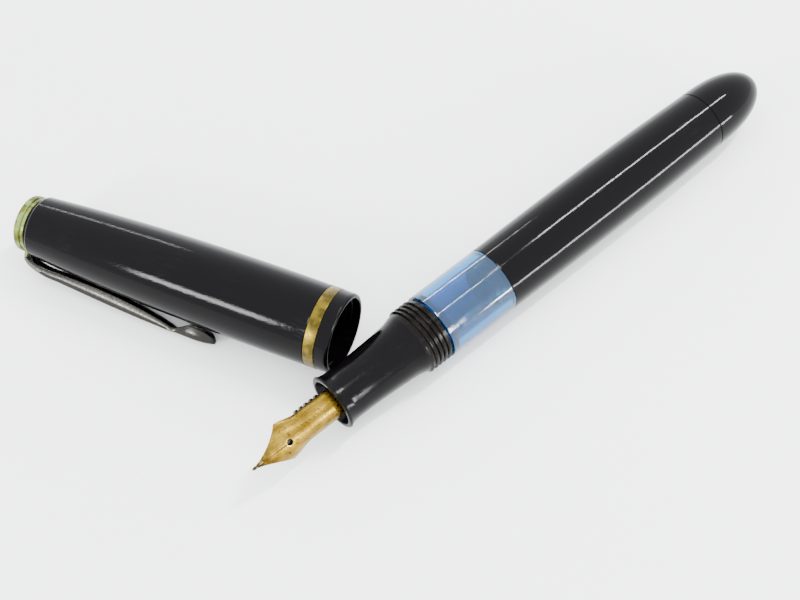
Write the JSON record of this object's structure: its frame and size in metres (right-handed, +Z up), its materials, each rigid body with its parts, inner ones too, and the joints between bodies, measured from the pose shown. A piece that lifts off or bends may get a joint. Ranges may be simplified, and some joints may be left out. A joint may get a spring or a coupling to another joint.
{
  "type": "fountain pen",
  "caption": "Piston-filler fountain pen with a clear ink window, lying with its clipped screw cap off beside the section; a tail knob drives the piston through a threaded spindle.",
  "frame": {"origin": "centre of the bottom of the whole object's box, on the table", "axes": "+Z up; +Y from the cap's mouth to its top; the pen lies level, 25 degrees clockwise of +X seen from above, with its tail towards +X"},
  "size_m": [0.1082, 0.1108, 0.0144],
  "materials": {
    "black_plastic": "polished, fine scratches",
    "dark_plastic": "as moulded",
    "blue_plastic": "clear, polished",
    "ebonite": "satin",
    "seal_rubber": "smooth",
    "gold_plate": "worn gold plate with ink stains",
    "tipping_metal": "ground",
    "gilt_metal": "plating worn through to grey metal",
    "brass": "dull and tarnished"
  },
  "bodies": {
    "pen": {"nib": "gold_plate", "nib_tipping": "tipping_metal", "feed": "ebonite", "nib_collar": "ebonite", "section": "black_plastic", "ink_window": "blue_plastic", "barrel": "black_plastic", "piston_housing": "dark_plastic", "retaining_ring": "brass"},
    "piston": {"piston_head": "dark_plastic", "piston_seal": "seal_rubber", "piston_rod": "dark_plastic"},
    "knob": {"turning_knob": "black_plastic", "spindle": "brass", "spindle_washer": "brass"},
    "cap": {"cap_shell": "black_plastic", "cap_band": "brass", "cap_liner": "dark_plastic", "cap_stud": "brass", "cap_disc": "brass", "clip_ring": "gilt_metal"},
    "clip": {"clip": "gilt_metal"}
  },
  "joints": [
    {"name": "knob_turn", "type": "hinge", "parent": "pen", "child": "knob", "pos_m": [-0.05248, -0.00362, 0.0062], "axis": [0.9063, -0.4226, 0], "range_deg": [-855.6, 576.6]},
    {"name": "piston_slide", "type": "slide", "parent": "pen", "child": "piston", "axis": [-0.9063, 0.4226, 0], "range_m": [-0.01425, 0.0096]},
    {"name": "cap_swing", "type": "hinge", "parent": "pen", "child": "cap", "pos_m": [-0.06364, -0.04078, 0], "axis": [0, 0, 1], "range_deg": [0, 65]},
    {"name": "clip_flex", "type": "hinge", "parent": "cap", "child": "clip", "pos_m": [-0.02962, 0.05322, 0.0034], "axis": [0.6556, 0, -0.7551], "range_deg": [0, 6], "stiffness_Nm_per_rad": 4.5}
  ],
  "couplings": [
    {"joint": "knob_turn", "follows": "piston_slide", "rad_per_m": 1047.2}
  ]
}
